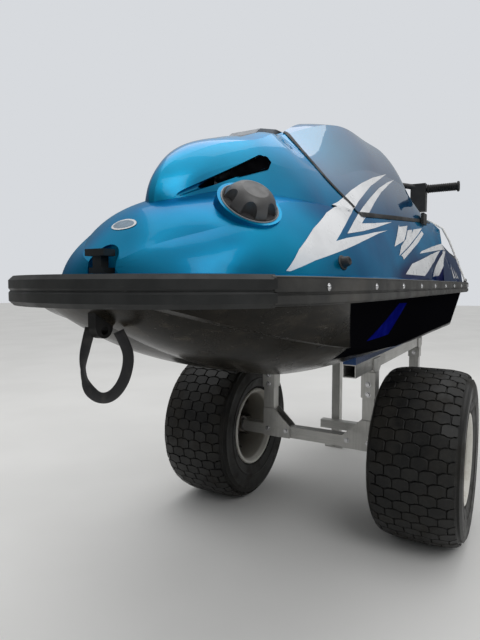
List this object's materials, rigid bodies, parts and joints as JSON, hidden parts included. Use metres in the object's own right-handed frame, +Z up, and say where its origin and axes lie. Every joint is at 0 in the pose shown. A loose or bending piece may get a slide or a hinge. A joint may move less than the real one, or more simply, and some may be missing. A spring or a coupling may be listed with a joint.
{
  "type": "stand-up personal watercraft on a beach cart",
  "caption": "Stand-up personal watercraft with a lifting handle pole, open rider's tray and jet drive, parked on a wheeled aluminium beach cart.",
  "frame": {"origin": "on the ground under the middle of the craft and cart", "axes": "+X to the bow, +Y to port, +Z up"},
  "size_m": [2.31, 1.013, 1.2875],
  "materials": {
    "hull_bottom": "gloss, scuffed",
    "deck_blue": "metallic blue gloss",
    "hood_blue": "metallic blue gloss",
    "rubber_black": "satin",
    "rail_grey": "satin",
    "black_plastic": "moulded",
    "cart_aluminium": "mill finish",
    "cast_aluminium": "cast",
    "stainless": "brushed",
    "tyre_rubber": "matt",
    "rim_plastic": "cream plastic",
    "carpet_blue": "ribbed carpet",
    "mat_black": "ribbed",
    "webbing": "woven",
    "engine_grey": "painted"
  },
  "bodies": {
    "root": {"hull": "hull_bottom", "deck": "deck_blue", "bow_bumper": "rubber_black", "rail_port": "rail_grey", "rail_starboard": "rail_grey", "cowl": "deck_blue", "hood": "hood_blue", "engine": "engine_grey", "pole_bracket": "cast_aluminium", "tray_mat": "mat_black", "gunwale_pads": "mat_black", "filler_ring": "deck_blue", "fuel_cap": "black_plastic", "bow_latch": "rubber_black", "hood_latches": "rubber_black", "side_plugs": "black_plastic", "pump_casing": "cast_aluminium", "ride_plate": "cast_aluminium", "intake_grate": "cast_aluminium", "exhaust_outlet": "black_plastic", "stern_eyes": "stainless", "bow_eye": "stainless", "strap": "webbing", "axle_beam": "cart_aluminium", "uprights": "cart_aluminium", "rear_posts": "cart_aluminium", "feet": "cart_aluminium", "rear_cross_tube": "cart_aluminium", "gussets": "cart_aluminium", "sleeves": "cart_aluminium", "bunk_brackets": "cart_aluminium", "bunks": "cart_aluminium", "bunk_carpets": "carpet_blue", "axle_stubs": "stainless"},
    "pole": {"handle_pole": "black_plastic", "steering_housing": "black_plastic"},
    "bars": {"steering_stem": "stainless", "handlebar": "black_plastic", "bar_clamp": "cast_aluminium", "grip_port": "rubber_black", "grip_starboard": "rubber_black", "control_port": "black_plastic", "control_starboard": "black_plastic"},
    "wheel_port": {"tyre_port": "tyre_rubber", "rim_port": "rim_plastic"},
    "wheel_starboard": {"tyre_starboard": "tyre_rubber", "rim_starboard": "rim_plastic"},
    "nozzle": {"nozzle": "cast_aluminium"},
    "impeller": {"impeller": "stainless"}
  },
  "joints": [
    {"name": "wheel_port_spin", "type": "hinge", "parent": "root", "child": "wheel_port", "pos_m": [0.011, 0.374, 0.2725], "axis": [0, 1, 0], "continuous": true},
    {"name": "wheel_starboard_spin", "type": "hinge", "parent": "root", "child": "wheel_starboard", "pos_m": [0.011, -0.374, 0.2725], "axis": [0, 1, 0], "continuous": true},
    {"name": "pole_lift", "type": "hinge", "parent": "root", "child": "pole", "pos_m": [0.56, 0, 1.118], "axis": [0, 1, 0], "range_deg": [0, 70]},
    {"name": "steering", "type": "hinge", "parent": "pole", "child": "bars", "pos_m": [-0.51, 0, 1.2], "axis": [0, 0, 1], "range_deg": [-28, 28]},
    {"name": "nozzle_swing", "type": "hinge", "parent": "root", "child": "nozzle", "pos_m": [-1, 0, 0.655], "axis": [0, 0, 1], "range_deg": [-20, 20]},
    {"name": "impeller_spin", "type": "hinge", "parent": "root", "child": "impeller", "pos_m": [-0.8, 0, 0.655], "axis": [1, 0, 0], "continuous": true}
  ],
  "couplings": [
    {"joint": "nozzle_swing", "follows": "steering", "ratio": -0.7}
  ]
}
